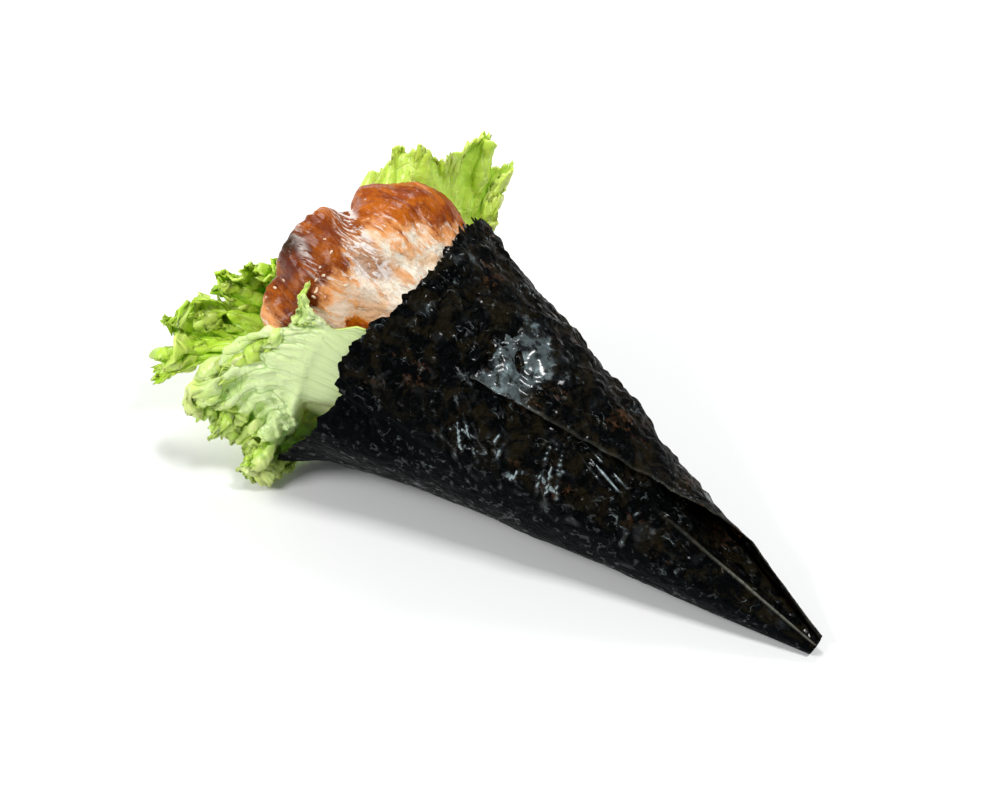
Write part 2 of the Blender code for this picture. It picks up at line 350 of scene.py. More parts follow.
def crumple(slant, phi, wrap, place):
    """The sheet's hills, hollows and creases. The pressed strip keeps almost flat."""
    off_table = step_at(from_bottom(phi), 22, 48)
    grown = smooth(slant, TIP_SLANT, 55 * MM)
    hills = noise.noise(place * 45) * 0.5 + noise.noise(place * 110) * 0.3
    lively = 0.5 + 0.5 * smooth(noise.noise(place * 70 + Vector((4, 1, 7))), -0.25, 0.35)
    smooth_front = step_at(phi, 66, 84) * (1 - step_at(phi, 140, 180))
    lively *= 1 - 0.78 * smooth_front
    small = 1 - 0.7 * step_at(wrap, 96, 112) * (1 - step_at(wrap, 226, 242))
    creases = lively * (0.85 * facets(place, 7.5 * MM) + small * (
        0.62 * facets(place * 1.3, 4.2 * MM) + 0.34 * facets(place * 0.9, 2.2 * MM)))
    patch = patch_share(slant, phi, wrap)
    creases += patch * (1.3 * facets(place, 6.0 * MM) + 0.6 * facets(place, 3.0 * MM))
    near_edge = 1 - step_at(wrap - free_edge(slant), 0, 9)
    creases += near_edge * (wrap < pi) * 0.4 * noise.noise(place * 500)
    height = (hills + creases) * MM * grown * (0.10 + 0.90 * off_table)
    if WRINKLED_FROM < phi < WRINKLED_TO:
        height += sum(wrinkle.at(slant, phi) for wrinkle in WRINKLES) * off_table
    return height


CREASE_PHI = radians(22)
HOLLOW_PHI = radians(-70)
TROUGH_DEEP = 30 * MM
TROUGH_START = 52 * MM
TROUGH_DEPTH, CREASE_HEIGHT = 0.36, 0.09      # shares of the radius


def covered_tip(slant, wrap):
    """1 near the tip on the turn that the flap covers, 0 up the cone and on other turns."""
    return (1 - smooth(slant, TROUGH_DEEP, TROUGH_START)) * step_at(wrap, 290, 315)


def trough(slant, phi, wrap):
    """Near the tip the turn under the flap sinks in, from a sharp crease in front of it."""
    share = (CREASE_PHI - phi) / (CREASE_PHI - HOLLOW_PHI)
    depth = min(1, share * 3.2) * (1 - smooth(share, 0.55, 1)) if 0 < share < 1 else 0
    ridge = CREASE_HEIGHT * hump(phi, CREASE_PHI, radians(7))
    return covered_tip(slant, wrap) * (ridge - TROUGH_DEPTH * depth) * slant * sin(HALF_ANGLE)


def mouth_folds(slant, phi, wrap):
    """Near the rim the front is pleated, rolls out below the pleat, and flares at its corner."""
    front_turn = step_at(wrap, 200, 240)
    near_rim = step_mm(slant, 84, 111) * front_turn
    pleat = step_at(phi, 73, 78) * (1 - step_at(phi, 78, 96))
    roll = hump_at(phi, 99, 21)
    flare = hump_at(phi, 130, 34) * front_turn
    return (near_rim * (ROLL_HEIGHT * roll - PLEAT_DEPTH * pleat)
            + FLARE_HEIGHT * step_mm(slant, 96, 114) * flare
            + CORNER_FLARE * step_mm(slant, 112, 123) * flare) * MM


def flap_lift(slant, wrap):
    """The free edge stands a little off the turn under it, most of all near the tip."""
    from_edge = wrap - free_edge(slant)
    return (FLAP_LIFT * hump(slant, 38 * MM, 30 * MM) * (1 - step_at(from_edge, 0, 50))
            + EDGE_LIFT * (1 - step_at(from_edge, 0, 16))) * MM


def sheet_place(wrap, share):
    """A point of the sheet's outer face, for a wrap angle and a share of the way to the rim."""
    at_rim = smooth(share, 0.93, 1)
    slant = mix(TIP_SLANT, rim_slant(wrap), share) + rim_teeth(wrap) * at_rim
    phi = signed(CORNER_PHI - wrap)
    nominal = slant * sin(HALF_ANGLE) * pressed(phi)
    place = on_cone(slant, phi, nominal)
    radius = nominal - WRAP_PITCH * smooth(wrap, WRAP_START, WRAP_SETTLED)
    radius += crumple(slant, phi, wrap, place)
    radius += mouth_folds(slant, phi, wrap) + flap_lift(slant, wrap) + trough(slant, phi, wrap)
    radius += at_rim * (0.4 * noise_at(wrap * 9, 5, 2) + 0.3 * noise_at(wrap * 31, 1, 8)) * MM
    radius -= RIM_PRESS * at_rim * (1 - step_at(wrap, 150, 210))
    point = on_cone(slant, phi, radius)
    point.z = max(point.z, TABLE_SKIN)
    return point, slant, phi


def nori_finish(slant, phi, wrap, place):
    """How brown the sheet is there; how glossy, with painted highlights on the bright patch and on
    the ridges, which are glossiest; and how pale, with wear at the torn edge and a painted
    highlight along the crease near the tip.
    """
    front = step_at(phi, 60, 76) * (1 - step_at(phi, 150, 180))
    patch = patch_share(slant, phi, wrap)
    gloss_and_painted_highlight = smooth(patch + 0.7 * noise.noise(place * 260), 0.25, 0.75)
    # The wrinkle ridges get values above 1, which the material paints as highlights.
    if WRINKLED_FROM < phi < WRINKLED_TO:
        ridge = max(wrinkle.at(slant, phi) for wrinkle in WRINKLES) / MM
        gloss_and_painted_highlight = max(gloss_and_painted_highlight, 1.6 * smooth(ridge, 0.02, 0.22))
    width = 0.55 * MM / (slant * sin(HALF_ANGLE))
    tears = 0.35 + 0.65 * smooth(noise.noise(place * 300), -0.1, 0.3)
    edge = (1 - smooth(wrap - free_edge(slant), 0, 1.6 * width)) * (wrap < pi) * tears
    # Painted highlight: a pale line along the sharp crease near the tip.
    crease = (hump(phi, CREASE_PHI, width) * covered_tip(slant, wrap)
              * (1 - 0.6 * step_mm(slant, 24, 36)))
    return 1 - front, gloss_and_painted_highlight, max(0.4 * edge, crease)


EDGE_STRAYS = ((0.55, 190, 2), (0.35, 70, 6))     # degrees, how often, and which noise
EDGE_NOISE_LIMIT = 0.18
INNER_EDGE_ROWS = 8


def torn_edge(share):
    """The wrap angle where the sheet starts: its free edge, slightly ragged."""
    start = free_edge(mix(TIP_SLANT, CORNER_SLANT, share))
    for size, often, which in EDGE_STRAYS:
        start += (radians(size) * noise_at(share * often, which, 5)
                  / max(share, EDGE_NOISE_LIMIT))
    return start


def nori_sheet():
    """The outer face is fine and the inner face is coarser, joined all round the edges."""
    wraps = []
    for low, high, step in SHEET_STRIPS:
        count = round((high - low) / step)
        wraps += [radians(low + (high - low) * index / count) for index in range(count)]
    full = radians(SHEET_STRIPS[-1][1])
    wraps.append(full)
    shares = [index / SHEET_ROWS for index in range(SHEET_ROWS + 1)]
    starts = [torn_edge(share) for share in shares]
    outer, zones = [], []
    for turned in wraps:
        column, zone = [], []
        for share, start in zip(shares, starts):
            wrap = start + turned * (full - start) / full
            place, slant, phi = sheet_place(wrap, share)
            column.append(place)
            zone.append(nori_finish(slant, phi, wrap, place))
        outer.append(column)
        zones.append(zone)
    columns, rows = len(outer), len(shares)
    inner_rows = [row for row in range(rows)
                  if row % INNER_ROW_STEP == 0 or row >= rows - INNER_EDGE_ROWS]
    vertices, faces = flat(outer), grid_faces(columns, rows)
    inner_start, count = len(vertices), len(inner_rows)
    vertices += [outer[c][r] - directions(outer, c, r)[2] * NORI_THICKNESS
                 for c in range(columns) for r in inner_rows]
    for c in range(columns - 1):
        a = inner_start + c * count
        faces += [(k, k + 1, k + count + 1, k + count) for k in range(a, a + count - 1)]
    for c in range(columns - 1):
        a = inner_start + c * count
        b, top = a + count - 1, c * rows + rows - 1
        faces += [(c * rows, a, a + count, (c + 1) * rows), (top, top + rows, b + count, b)]
    last = (columns - 1) * rows
    for k, (low, high) in enumerate(zip(inner_rows, inner_rows[1:])):
        a = inner_start + k
        b = a + (columns - 1) * count
        faces += [(a, *range(low, high + 1), a + 1),
                  (b + 1, *range(last + high, last + low - 1, -1), b)]
    mesh = bpy.data.meshes.new("nori_sheet")
    mesh.from_pydata(vertices, [], faces)
    write_values(mesh, ("brown", "gloss_and_painted_highlight", "wear_and_painted_crease_highlight"),
                 flat(zones) + [zones[c][r] for c in range(columns) for r in inner_rows])
    shape = bmesh.new()
    shape.from_mesh(mesh)
    bmesh.ops.recalc_face_normals(shape, faces=shape.faces)
    shape.to_mesh(mesh)
    shape.free()
    mesh.shade_smooth()
    add_piece("nori_sheet", mesh, [nori_material()], "nori_wrap")


# ---- eel

def room(along, phi):
    """From the axis to the filling's limit inside the wall. Clear of the rim it grows no more."""
    return min(along, LEAF_EXIT) * tan(HALF_ANGLE) * pressed(phi) - CLEARANCE


EEL_LEFT_PHI = radians(88)
EEL_RIGHT_PHI = radians(-50)
EEL_CORNER_POWER = 4.0
EEL_CUTS = 96
EEL_ROOT = 48 * MM
EEL_REACH = 26 * MM
VALLEY_WIDTH, FOLD_WIDTH = radians(13), radians(9)
VALLEY_LINE = (17, 18, 19, 17, 12, 4, -4)        # degrees, from the mouth outward
FOLD_LINE = (44, 43, 41, 38, 36, 32, 28)
GLAZE_EDGE = (1.5, 3.5, 7.5, 11, 15, 11, 11.5, 12, 12)    # mm beyond the mouth
GLAZE_START, GLAZE_SPAN = radians(-40), radians(110)


def line_angle(line, along):
    """Where a line that runs out from the mouth over the slice lies round the cone."""
    return radians(curve_through(line, clamp((along - RIM_ALONG) / EEL_REACH)))


def eel_valley(along, phi):
    """How deep a place is in the valley between the slice's two lobes, from 0 to 1."""
    return hump(phi, line_angle(VALLEY_LINE, along), VALLEY_WIDTH) * past_rim(along, -14, 12)


def eel_fold(along, phi):
    return hump(phi, line_angle(FOLD_LINE, along), FOLD_WIDTH) * past_rim(along, 8, 16)


def eel_place(corner):
    """A point of the eel slice, for a point of a cube whose sides run from -1 to 1."""
    reach = sum(abs(value) ** EEL_CORNER_POWER for value in corner) ** (1 / EEL_CORNER_POWER)
    lengthwise, sideways, upward = corner / reach
    phi = mix(EEL_LEFT_PHI, EEL_RIGHT_PHI, (sideways + 1) / 2)
    notch = hump_at(phi, -6, 17)
    wave = MM * (1.1 * noise_at(phi * 5, 3, 1) + 0.5 * noise_at(phi * 17, 8, 2))
    end = RIM_ALONG + EEL_REACH * (1 - 0.18 * notch) + wave
    along = mix(EEL_ROOT, end, (lengthwise + 1) / 2)
    outside = past_rim(along, -22, 4)
    top = mix(0.96, 0.80, step_at(phi, 24, 44) * (1 - 0.5 * outside))
    swell = 3.2 * MM * smooth(along, LEAF_EXIT - 4 * MM, LEAF_EXIT + 10 * MM)
    far_end = past_rim(along, 9, 25)
    swell += 2.4 * MM * step_at(-phi, 4, 32) * (1 - far_end) * past_rim(along, -4, 8)
    swell -= far_end * MM * (2.8 * (1 - step_at(phi, 4, 26)) + 2.6 * hump_at(phi, 53, 17)
                             - 1.4 * step_at(phi, 62, 80))
    radius = room(along, phi) * mix(0.50, top, (upward + 1) / 2) + swell
    place = in_cone(along, radius * sin(phi), radius * cos(phi))
    above = smooth(upward, -0.2, 0.8)
    valley, fold = eel_valley(along, phi), eel_fold(along, phi)
    height = -2.4 * valley - 1.1 * fold
    height += 0.9 * noise.noise(place * 90) + 0.55 * noise.noise(place * 230)
    fibres = noise_at(along * 60, phi * 30 + noise.noise(place * 120) * 1.2, 3)
    height += 0.6 * fibres + 0.22 * noise.noise(place * 620)
    radius += height * MM * above * outside
    return in_cone(along, radius * sin(phi), radius * cos(phi)), along, phi, upward


def eel_glaze(along, phi, place):
    """How thick the glaze lies, from 0 on bare flesh to 1."""
    share = clamp((phi - GLAZE_START) / GLAZE_SPAN)
    edge = RIM_ALONG + curve_through(GLAZE_EDGE, share) * MM
    stray = 3.8 * MM * noise.noise(place * 230) + 3.4 * MM * noise.noise(place * 100)
    glaze = smooth(along + stray, edge - 5.5 * MM, edge + 4.2 * MM)
    glaze *= 1 - 0.85 * step_at(phi, 58, 70)
    spot = hump_at(phi, 46, 8) * hump(along, RIM_ALONG + 3 * MM, 5 * MM)
    return max(glaze, smooth(spot, 0.12, 0.4))


def eel_piece():
    shape = bmesh.new()
    bmesh.ops.create_cube(shape, size=2)
    bmesh.ops.subdivide_edges(shape, edges=shape.edges[:], cuts=EEL_CUTS, use_grid_fill=True)
    finishes = []
    for vertex in shape.verts:
        place, along, phi, upward = eel_place(vertex.co.copy())
        vertex.co = place
        glaze = eel_glaze(along, phi, place)
        outside = past_rim(along, 2, 8)
        # The valley's wet values also set where whitish reflections are painted on the glaze.
        wet = max(eel_valley(along, phi) ** 1.5 * outside, 0.35 * eel_fold(along, phi) ** 2)
        skin = hump_at(phi, 34, 10) * past_rim(along, 21, 25)
        pink = 0.4 * step_at(phi, 18, 38) + 0.6 * step_at(phi, 54, 66)
        dark = step_at(phi, 10, 30) * past_rim(along, 7, 15)
        # Where the pale specks that stand in as painted glints go, mostly on the left lobe's glaze.
        painted_glint_share = (smooth(upward, 0.3, 0.7) * glaze
                    * (0.12 + 0.88 * hump_at(phi, 44, 20) * past_rim(along, 9, 14)))
        finishes.append((glaze, wet, skin, pink, dark, painted_glint_share))
    bmesh.ops.recalc_face_normals(shape, faces=shape.faces)
    mesh = bpy.data.meshes.new("glazed_eel")
    shape.to_mesh(mesh)
    shape.free()
    write_values(mesh, ("glaze", "wet", "skin", "pink", "dark", "painted_glint_share"), finishes)
    mesh.shade_smooth()
    return add_piece("glazed_eel", mesh, [eel_material()], "eel_slice")


SPECK_FACES_ROUND = 8
SPECK_RINGS = 5
SPECK_SHAPE = (1.0, 0.55, 0.34)
SPECK_DENSITY = 52000          # for each square metre
SPECK_SIZES = (0.8 * MM, 1.3 * MM)
SPECK_SEED = 7


def speck_tree():
    """Scatters small flat ovals over a surface, as thick as its "speckled" values say."""
    tree = bpy.data.node_groups.new("scattered_specks", "GeometryNodeTree")
    add_sockets(tree, "OUTPUT", {"Geometry": "Geometry"})
    add_sockets(tree, "INPUT", {"Geometry": "Geometry", "Density": "Float", "Smallest": "Float",
                                "Largest": "Float", "Seed": "Int", "Material": "Material"})
    nodes = Nodes(tree)
    given = nodes.add("NodeGroupInput").outputs
    thick = nodes.add("GeometryNodeInputNamedAttribute", {"Name": "painted_glint_share"}, data_type="FLOAT")
    points = nodes.add("GeometryNodeDistributePointsOnFaces", {
        "Mesh": given["Geometry"], "Seed": given["Seed"],
        "Density": nodes.times(given["Density"], thick.outputs["Attribute"])},
        distribute_method="RANDOM").outputs
    ball = nodes.add("GeometryNodeMeshUVSphere", {
        "Segments": SPECK_FACES_ROUND, "Rings": SPECK_RINGS, "Radius": 0.5})
    oval = nodes.add("GeometryNodeTransform", {"Geometry": ball.outputs["Mesh"],
                                               "Scale": SPECK_SHAPE})
    piece = nodes.add("GeometryNodeInstanceOnPoints", {
        "Points": points["Points"], "Instance": oval.outputs["Geometry"],
        "Rotation": points["Rotation"],
        "Scale": nodes.random("FLOAT", given["Smallest"], given["Largest"])})
    piece = nodes.add("GeometryNodeRotateInstances", {
        "Instances": piece.outputs["Instances"],
        "Rotation": nodes.random("FLOAT_VECTOR", (0, 0, 0), (0, 0, pi))})
    piece = nodes.add("GeometryNodeRealizeInstances", {"Geometry": piece.outputs["Instances"]})
    for kind, inputs in (("GeometryNodeSetShadeSmooth", {}),
                         ("GeometryNodeSetMaterial", {"Material": given["Material"]}),
                         ("NodeGroupOutput", {})):
        piece = nodes.add(kind, {"Geometry": piece.outputs["Geometry"], **inputs})
    return tree


def painted_glint_specks(eel):
    """Pale specks on the glaze, standing in as painted glints, most of them on the left lobe."""
    tree = speck_tree()
    carrier = placed("speck_carrier", eel.data)
    scatter = carrier.modifiers.new("scatter", "NODES")
    scatter.node_group = tree
    values = {"Density": SPECK_DENSITY, "Smallest": SPECK_SIZES[0], "Largest": SPECK_SIZES[1],
              "Seed": SPECK_SEED, "Material": glint_speck_material()}
    for item in tree.interface.items_tree:
        if item.in_out == "INPUT" and item.name in values:
            scatter[item.identifier] = values[item.name]
    ready = carrier.evaluated_get(bpy.context.evaluated_depsgraph_get())
    mesh = bpy.data.meshes.new_from_object(ready)
    mesh.name = "painted_glint_specks"
    carrier.modifiers.remove(scatter)
    bpy.data.objects.remove(carrier)
    piece = placed("painted_glint_specks", mesh)
    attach(piece, "root")


# ---- lettuce

class Rib:
    """One line of a leaf, from its root in the cone, through the mouth, to the leaf's margin."""

    def __init__(self, phi, share, beyond, side, up):
        self.mouth = Vector((sin(radians(phi)), cos(radians(phi)), 0)) * share
        self.margin = Vector((RIM_ALONG + beyond * MM, side * MM, up * MM))


FRONT_RIBS = [Rib(*row) for row in (
    (52, LEAF_FIT, 16, 18.5, 20.5),
    (54, LEAF_FIT, 17, 27, 4.5),
    (62, LEAF_FIT, 25, 29, -9),
    (78, LEAF_FIT, 29, 33, -18),
    (96, LEAF_FIT, 23, 32, -20),
    (114, LEAF_FIT, 15, 32, -22),
    (132, LEAF_FIT, 11, 31.5, -28),
    (148, LEAF_FIT, 5, 18, -24))]
LEFT_RIBS = [Rib(*row) for row in (
    (118, 0.62, 41, 33, -28),
    (132, 0.58, 41, 24, -13),
    (158, 0.46, 40, 16, -9),
    (202, 0.46, 34, 7, 0.5),
    (232, 0.62, 28, -5, 4))]
RIGHT_RIBS = [Rib(*row) for row in (
    (-40, 0.38, 30, -15, 12),
    (-60, 0.60, 26, -22, 19),
    (-74, 0.88, 19, -29, 20),
    (-86, LEAF_FIT, 15, -37, 19),
    (-100, LEAF_FIT, 9.5, -40, 14),
    (-114, LEAF_FIT, 6, -33, 9),
    (-128, LEAF_FIT, 5, -28, -3))]
LEAF_CELLS = (300, 105)
LEAF_CROWDING = 0.85
LEAF_THICKNESS = 0.45 * MM
TABLE_GAP = 0.5 * MM
TABLE_BEND = 3 * MM
CREST_HEIGHT = 5 * MM


def leaf_surface(ribs, across, along):
    """A point of a leaf before it is ruffled. Both shares run from 0 to 1."""
    mouth = curve_through([rib.mouth for rib in ribs], across)
    margin = curve_through([rib.margin for rib in ribs], across)
    direction = atan2(mouth.x, mouth.y)
    if along < LEAF_MOUTH:
        depth = mix(FILLING_ROOT, LEAF_EXIT, along / LEAF_MOUTH)
        reach = room(depth, direction)
        return Vector((depth, mouth.x * reach, mouth.y * reach))
    reach = room(LEAF_EXIT, direction)
    start = Vector((LEAF_EXIT, mouth.x * reach, mouth.y * reach))
    ahead = Vector((1, mouth.x * tan(HALF_ANGLE), mouth.y * tan(HALF_ANGLE)))
    turn = start + ahead * (margin.x - LEAF_EXIT) * 0.75
    share = (along - LEAF_MOUTH) / (1 - LEAF_MOUTH)
    return start * (1 - share) ** 2 + turn * 2 * share * (1 - share) + margin * share ** 2


# How a leaf is ruffled: its face is 1 or -1 for the side its normals show. Waves, frills and
# curls are a count across the leaf and a height in mm, from the broadest to the finest.
LeafLook = namedtuple("LeafLook", "seed face waves pleats frills curls teeth tooth lobe blister "
                                  "cups calm calm_end spike")


FRONT_LOOK = LeafLook(3, -1, (4, 1.8), 0.8, (11, 2.2), (30, 0.6), 42, 0.045, 0.05, 0.2, 1.5,
                      0.30, 0.22, 0.22)
LEFT_LOOK = LeafLook(11, 1, (3, 2.0), 0.5, (8, 2.3), (26, 0.5), 42, 0.032, 0.05, 0.3, 1.3,
                     0.10, 0.08, 0)
RIGHT_LOOK = LeafLook(23, -1, (2.5, 1.5), 0.15, (6, 1.0), (16, 0.25), 25, 0.022, 0.08, 0.3, 0.6,
                      0.2, 0.2, 0)


CORNER_ROUNDING = 0.13


def leaf_margin(look, across):
    """How far the toothed margin strays from its line, as a share of the leaf's length."""
    shift = Vector((look.seed, across * 30, 0))
    lobes = look.lobe * noise.noise(shift * 0.5)
    pointed = 1 - abs(zigzag(across * look.teeth + 1.2 * noise.noise(shift)))
    teeth = look.tooth * (pointed ** 2 - 0.3) * (0.8 + 1.4 * noise.noise(shift * 1.7))
    corners = CORNER_ROUNDING * (1 - smooth(1 - across, 0, 0.10)) ** 2
    if look.spike:
        corners -= look.spike * (0.3 * (1 - smooth(across, 0, 0.03)) - hump(across, 0.08, 0.06))
    else:
        corners += CORNER_ROUNDING * (1 - smooth(across, 0, 0.12)) ** 2
    return lobes + teeth - corners


def moved(places, uvs, look, step):
    """A leaf's points, moved along its normal, aside and outward by what step gives in mm."""
    result = []
    for c, column in enumerate(places):
        line = []
        for r, place in enumerate(column):
            around, outward, normal = directions(places, c, r)
            up, aside, out = step(look, *uvs[c][r], place)
            line.append(place + (normal * up + around.normalized() * aside
                                 + outward.normalized() * out) * MM)
        result.append(line)
    return result


def calm_sides(look, across):
    """The ruffles die down toward a leaf's two side edges."""
    return ((0.12 + 0.88 * smooth(across, 0.1 * look.calm, look.calm))
            * (0.25 + 0.75 * smooth(1 - across, 0, look.calm_end)))


def waves(look, across, along, place):
    count, height = look.waves
    turn = 2 * pi * (count * across + 0.7 * noise_at(across * 5, look.seed, along))
    tall = height * smooth(along, 0.38, 1) * calm_sides(look, across)
    return look.face * tall * sin(turn), -0.3 * tall * sin(2 * turn), 0


def pleats(look, across, along, place):
    """Low ridges that run out from the mouth and fork, as the veins lift the leaf."""
    shift = Vector((across * 12, look.seed + 9, along * 3))
    ridge = 1 - 2 * abs(noise.noise(shift * 1.3)) / 0.5
    fork = 1 - 2 * abs(noise.noise(shift * 2.9 + Vector((0, 4, 0)))) / 0.5
    return look.face * look.pleats * smooth(along, 0.28, 0.60) * (ridge + 0.5 * fork), 0, 0


def frills(look, across, along, place):
    count, height = look.frills
    shift = Vector((across * 9, look.seed + 3, along * 2.2))
    turn = 2 * pi * (count * across + 1.6 * noise.noise(shift) + 0.6 * along)
    swing = 0.25 + 1.1 * smooth(noise.noise(shift * 2.3), -0.4, 0.4)
    calm = calm_sides(look, across)
    tall = height * swing * smooth(along, 0.60, 0.98) * calm
    blisters = look.blister * smooth(along, LEAF_MOUTH, 0.6) * (
        noise.noise(place * 330) + 0.5 * noise.noise(place * 700))
    cups = look.cups * smooth(along, 0.5, 0.85) * noise.noise(place * 140) * calm
    return (look.face * (tall * sin(turn) + cups) + blisters, -0.55 * tall * sin(2 * turn),
            0.5 * tall * smooth(along, 0.82, 1) * cos(turn + 0.6))


def curls(look, across, along, place):
    count, height = look.curls
    shift = Vector((across * 24, look.seed + 5, along * 5))
    turn = 2 * pi * (count * across + 1.8 * noise.noise(shift))
    calm = calm_sides(look, across)
    tall = height * (0.4 + 0.9 * noise.noise(shift * 1.4)) * smooth(along, 0.84, 1) * calm
    return (look.face * (tall * sin(turn) + 0.5 * smooth(along, 0.75, 1) * calm
                         * noise.noise(place * 420)),
            -0.5 * tall * sin(2 * turn), 0)


def fold_line(along):
    """Where across the front leaf its long fold runs."""
    return mix(0.44, 0.77, smooth(along, 0.20, 0.46))


def front_fold(look, across, along, place):
    """The front leaf rises in a long ridge, and its lower part is tucked under behind that."""
    ridge = fold_line(along)
    raised = hump(across, ridge - 0.03, 0.09) * smooth(along, 0.29, 0.38)
    tucked = (smooth(across, ridge, ridge + 0.11) * (1 - smooth(across, 0.86, 1))
              * smooth(along, 0.16, 0.27))
    under_pleat = (hump(across, 0.44, 0.24) * smooth(along, 0.12, 0.2)
                   * (1 - smooth(along, 0.27, 0.34)))
    height = (1.3 * raised - 2.4 * tucked) * (1 - smooth(along, 0.56, 0.86)) - 1.3 * under_pleat
    tab = hump(along, 0.278, 0.024) * (1 - smooth(across, 0, 0.05))
    return -height - 0.9 * tab, -4.2 * tab, 0


def above_table(place):
    """A leaf that would dip through the table lies on it instead."""
    if place.z < TABLE_BEND:
        share = max(place.z / TABLE_BEND, 0)
        place.z = TABLE_GAP + (TABLE_BEND - TABLE_GAP) * share ** 1.5
    return place


def lettuce_leaf(name, ribs, look, node, materials, fold):
    """A thin leaf from its ribs, ruffled in passes, each along the normals the last one left."""
    columns, rows = LEAF_CELLS
    places, uvs = [], []
    for c in range(columns + 1):
        across = c / columns
        stray = leaf_margin(look, across)
        alongs = [(r / rows) ** LEAF_CROWDING for r in range(rows + 1)]
        reaches = [along * (1 + stray * smooth(along, 0.75, 1)) for along in alongs]
        places.append([leaf_surface(ribs, across, reach) for reach in reaches])
        uvs.append([(across, reach) for reach in reaches])
    for step in filter(None, (fold, waves, pleats)):
        places = moved(places, uvs, look, step)
    level = places
    for step in (frills, curls):
        places = moved(places, uvs, look, step)
    finishes = []
    for c, column in enumerate(places):
        for r, place in enumerate(column):
            normal = directions(level, c, r)[2] * look.face
            across, along = uvs[c][r]
            ridge = fold_line(along)
            # The tucked wedge, which the material paints lighter against the shade under the fold.
            tucked = smooth(across, ridge, ridge + 0.04) * (1 - smooth(along, 0.45, 0.65))
            # The first value, the ruffles' height toward the visible side, sets the painted light
            # on crests and painted shade in hollows.
            finishes.append((0.5 + (place - level[c][r]).dot(normal) / CREST_HEIGHT,
                             tucked if fold else 0))
    mesh = bpy.data.meshes.new(name)
    mesh.from_pydata([above_table(in_cone(*place)) for place in flat(places)], [],
                     grid_faces(columns + 1, rows + 1))
    layer, flat_uvs = mesh.uv_layers.new(name="UVMap"), flat(uvs)
    for loop in mesh.loops:
        layer.data[loop.index].uv = flat_uvs[loop.vertex_index]
    write_values(mesh, ("crest", "olive"), finishes)
    mesh.shade_smooth()
    shell = add_piece(name, mesh, materials, node).modifiers.new("thickness", "SOLIDIFY")
    shell.thickness = LEAF_THICKNESS
    shell.offset = 0
    shell.material_offset = 1


# ---- materials

class Nodes:
    """A node tree, built step by step. Inputs take numbers, colours and other nodes' outputs."""

    def __init__(self, tree):
        self.tree = tree

    def fill(self, node, inputs):
        for key, value in inputs.items():
            if isinstance(value, bpy.types.NodeSocket):
                self.tree.links.new(value, node.inputs[key])
            else:
                node.inputs[key].default_value = value

    def add(self, kind, inputs=None, **settings):
        node = self.tree.nodes.new(kind)
        for key, value in settings.items():
            setattr(node, key, value)
        self.fill(node, inputs or {})
        return node

    def noise(self, place, scale, detail=4, roughness=0.55, distortion=0):
        return self.add("ShaderNodeTexNoise", {
            "Vector": place, "Scale": scale, "Detail": detail, "Roughness": roughness,
            "Distortion": distortion}).outputs["Fac"]

    def math(self, operation, *values):
        return self.add("ShaderNodeMath", dict(enumerate(values)), operation=operation).outputs[0]

    def times(self, *values):
        """One value times another, plus a third if there is one."""
        return self.math("MULTIPLY_ADD" if len(values) == 3 else "MULTIPLY", *values)

    def range(self, value, low, high, to_low=0.0, to_high=1.0):
        return self.add("ShaderNodeMapRange", dict(enumerate((value, low, high, to_low, to_high))),
                        interpolation_type="SMOOTHSTEP").outputs["Result"]

    def mix(self, share, first, second, blend="MIX"):
        """Two colours mixed, each a node's output or red, green and blue from 0 to 255."""
        first, second = (colour(*paint) if isinstance(paint, tuple) else paint
                         for paint in (first, second))
        return self.add("ShaderNodeMix", {"Factor": share, 6: first, 7: second},
                        data_type="RGBA", blend_type=blend).outputs[2]

    def random(self, kind, low, high):
        node = self.add("FunctionNodeRandomValue", data_type=kind)
        least, most = [key for key, socket in enumerate(node.inputs) if socket.enabled][:2]
        self.fill(node, {least: low, most: high})
        return next(socket for socket in node.outputs if socket.enabled)

    def value_of(self, name):
        return self.add("ShaderNodeAttribute", attribute_name=name).outputs["Fac"]

    def mapped(self, place, **inputs):
        return self.add("ShaderNodeMapping", {"Vector": place, **inputs}).outputs["Vector"]

    def place(self, scale=(1, 1, 1), rotation=(0, 0, 0)):
        """Object coordinates, stretched and turned."""
        coordinates = self.add("ShaderNodeTexCoord").outputs["Object"]
        return self.mapped(coordinates, Scale=scale, Rotation=rotation)

    def shaken(self, place, scale, detail, reach):
        """A place that a noise moves about, by up to its reach each way."""
        shake = self.add("ShaderNodeTexNoise", {"Vector": place, "Scale": scale, "Detail": detail})
        return self.add("ShaderNodeVectorMath", {0: shake.outputs["Color"], 1: reach, 2: place},
                        operation="MULTIPLY_ADD").outputs["Vector"]

    def bump(self, height, strength, distance):
        return self.add("ShaderNodeBump", {"Strength": strength, "Distance": distance,
                                           "Height": height}).outputs["Normal"]


def add_sockets(tree, direction, kinds):
    for name, kind in kinds.items():
        tree.interface.new_socket(name, in_out=direction, socket_type="NodeSocket" + kind)


def new_material(name):
    material = bpy.data.materials.new(name)
    material.use_nodes = True
    shader = material.node_tree.nodes["Principled BSDF"]
    return material, Nodes(material.node_tree), shader


TINT_OF_SHEEN = colour(214, 236, 246)
TINT_OF_COAT = colour(222, 240, 248)


